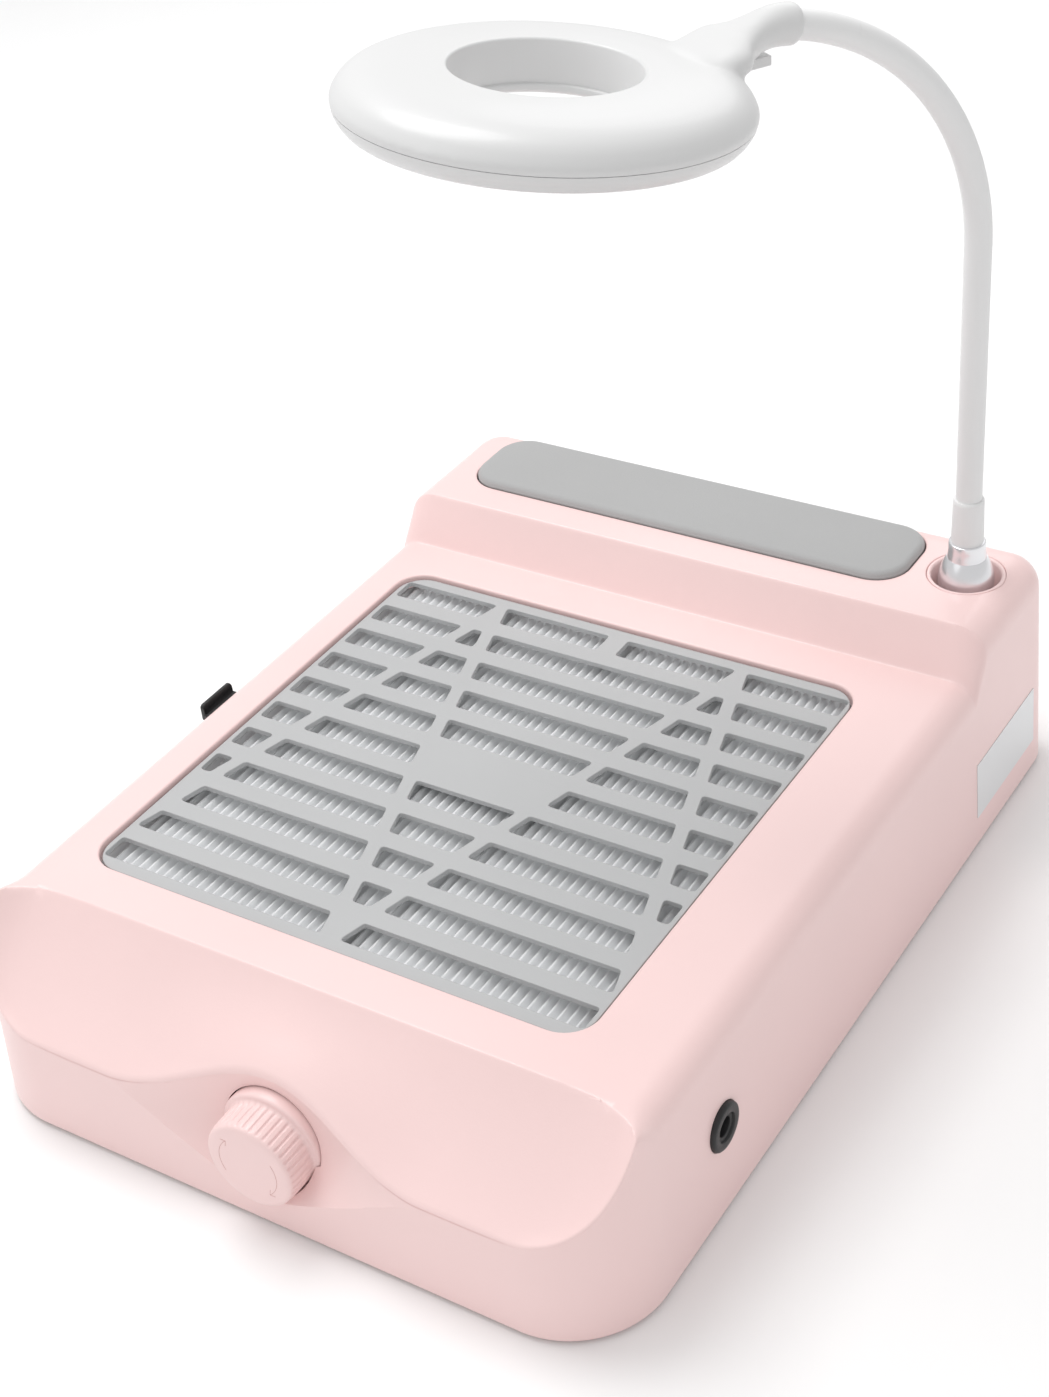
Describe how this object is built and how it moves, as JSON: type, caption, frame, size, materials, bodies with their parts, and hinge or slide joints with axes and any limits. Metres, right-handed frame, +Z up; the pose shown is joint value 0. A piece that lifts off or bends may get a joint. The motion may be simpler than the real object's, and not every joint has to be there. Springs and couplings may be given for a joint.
{
  "type": "nail dust collector",
  "caption": "Desk-top nail dust collector: sloping-fronted casing with a slotted work grille, pull-out filter, speed knob, hand rest and a ring lamp on a flexible neck.",
  "frame": {"origin": "on the table under the middle of the casing", "axes": "+X to the right of the person at the front, +Y from the front to the rear, +Z up"},
  "size_m": [0.2182, 0.2965, 0.2761],
  "materials": {
    "casing_pink": "satin moulded ABS, soft sheen",
    "grille_grey": "satin grey",
    "knob_pink": "satin moulded ABS",
    "filter_black": "fine texture",
    "filter_white": "pleated non-woven sheet",
    "seal_foam": "foam",
    "rest_grey": "matte soft-touch",
    "inner_grey": "moulded",
    "fan_black": "moulded",
    "steel": "zinc plated",
    "copper_coil": "enamelled windings",
    "board_green": "solder mask",
    "part_black": "moulded",
    "part_white": "moulded",
    "aluminium": "extruded",
    "jack_black": "moulded",
    "label_silver": "foil",
    "feet_rubber": "soft",
    "lamp_white": "satin",
    "lamp_chrome": "polished",
    "neck_white": "silicone sleeve",
    "diffuser": "frosted",
    "led_yellow": "phosphor",
    "lead_black": "insulation"
  },
  "bodies": {
    "casing": {"upper_housing": "casing_pink", "bottom_cover": "casing_pink", "rubber_feet": "feet_rubber", "case_screws": "steel", "grille_plate": "grille_grey", "filter_rail_front": "inner_grey", "filter_rail_rear": "inner_grey", "fan_deck": "inner_grey", "fan_screws": "steel", "fan_frame_left": "fan_black", "fan_frame_right": "fan_black", "fan_stator_left": "copper_coil", "fan_stator_right": "copper_coil", "control_body": "steel", "control_nut": "steel", "jack_body": "jack_black", "jack_nut": "steel", "jack_pin": "steel", "control_board": "board_green", "board_capacitors": "part_black", "heat_sink": "aluminium", "power_transistor": "part_black", "board_connectors": "part_white", "board_screws": "steel", "exhaust_grille": "casing_pink", "hand_rest_base": "inner_grey", "hand_rest_pad": "rest_grey", "rating_label": "label_silver", "lamp_socket_cup": "casing_pink", "control_lead": "lead_black", "power_lead": "lead_black"},
    "filter": {"filter_frame": "filter_black", "filter_media": "filter_white", "filter_seal": "seal_foam", "filter_pull_tab": "filter_black"},
    "fan_left": {"fan_rotor_left": "fan_black", "fan_shaft_left": "steel"},
    "fan_right": {"fan_rotor_right": "fan_black", "fan_shaft_right": "steel"},
    "knob": {"speed_knob": "knob_pink", "control_shaft": "steel"},
    "lamp_base": {"lamp_base_bell": "lamp_chrome", "lamp_base_collar": "lamp_chrome", "lamp_ferrule": "lamp_white", "neck_root": "neck_white"},
    "neck_1": {"neck_link_1": "neck_white"},
    "neck_2": {"neck_link_2": "neck_white"},
    "neck_3": {"neck_link_3": "neck_white"},
    "neck_4": {"neck_link_4": "neck_white"},
    "neck_5": {"neck_link_5": "neck_white"},
    "head": {"head_upper_shell": "lamp_white", "head_lower_rims": "lamp_white", "lamp_diffuser": "diffuser", "led_board": "board_green", "led_chips": "led_yellow"},
    "button": {"lamp_button": "lamp_white"}
  },
  "joints": [
    {"name": "knob_turn", "type": "hinge", "parent": "casing", "child": "knob", "pos_m": [0, -0.1378, 0.0252], "axis": [0, 1, 0], "range_deg": [0, 300]},
    {"name": "filter_slide", "type": "slide", "parent": "casing", "child": "filter", "axis": [-1, 0, 0], "range_m": [0, 0.19]},
    {"name": "fan_left_spin", "type": "hinge", "parent": "casing", "child": "fan_left", "pos_m": [-0.046, -0.016, 0.02], "axis": [0, 0, 1], "continuous": true},
    {"name": "fan_right_spin", "type": "hinge", "parent": "casing", "child": "fan_right", "pos_m": [0.04, -0.016, 0.02], "axis": [0, 0, 1], "continuous": true},
    {"name": "lamp_swivel", "type": "hinge", "parent": "casing", "child": "lamp_base", "pos_m": [0.086, 0.12, 0.07], "axis": [0, 0, 1], "range_deg": [-150, 100]},
    {"name": "neck_1_bend", "type": "hinge", "parent": "lamp_base", "child": "neck_1", "pos_m": [0.086, 0.12, 0.118], "axis": [0.8526, -0.5225, 0], "range_deg": [-20, 10]},
    {"name": "neck_2_bend", "type": "hinge", "parent": "neck_1", "child": "neck_2", "pos_m": [0.086, 0.12, 0.152], "axis": [0.8526, -0.5225, 0], "range_deg": [-20, 10]},
    {"name": "neck_3_bend", "type": "hinge", "parent": "neck_2", "child": "neck_3", "pos_m": [0.086, 0.12, 0.1862], "axis": [0.8526, -0.5225, 0], "range_deg": [-20, 10]},
    {"name": "neck_4_bend", "type": "hinge", "parent": "neck_3", "child": "neck_4", "pos_m": [0.08208, 0.11361, 0.22001], "axis": [0.8526, -0.5225, 0], "range_deg": [-20, 10]},
    {"name": "neck_5_bend", "type": "hinge", "parent": "neck_4", "child": "neck_5", "pos_m": [0.07107, 0.09563, 0.24748], "axis": [0.8526, -0.5225, 0], "range_deg": [-20, 10]},
    {"name": "head_tilt", "type": "hinge", "parent": "neck_5", "child": "head", "pos_m": [0.05502, 0.06944, 0.26347], "axis": [0.8526, -0.5225, 0], "range_deg": [-20, 15]},
    {"name": "button_press", "type": "slide", "parent": "head", "child": "button", "axis": [0, 0, 1], "range_m": [0, 0.0008], "stiffness_N_per_m": 400, "springref_m": -0.0005}
  ]
}
